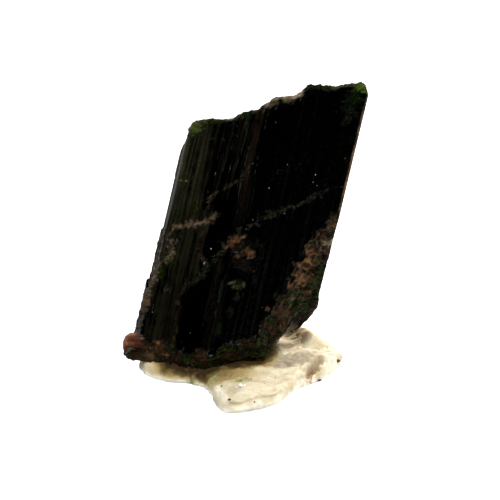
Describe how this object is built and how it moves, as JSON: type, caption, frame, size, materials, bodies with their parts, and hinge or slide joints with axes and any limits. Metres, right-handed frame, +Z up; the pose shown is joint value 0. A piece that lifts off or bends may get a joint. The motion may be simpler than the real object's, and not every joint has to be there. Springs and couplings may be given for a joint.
{
  "type": "chrome tourmaline crystal on display putty",
  "caption": "Broken, striated dark green tourmaline prism with a rough flank and a pinkish rock knob, leaning on a flattened wad of off-white display putty.",
  "frame": {"origin": "on the flat underside of the putty, under the crystal's front foot", "axes": "+Z up, front of the crystal towards -Y, the crystal leans to +X and back to +Y"},
  "size_m": [0.0118, 0.0113, 0.014],
  "materials": {
    "tourmaline": "gloss",
    "putty": "matte"
  },
  "bodies": {
    "root": {"tourmaline_crystal": "tourmaline", "putty_pad": "putty"}
  },
  "joints": []
}
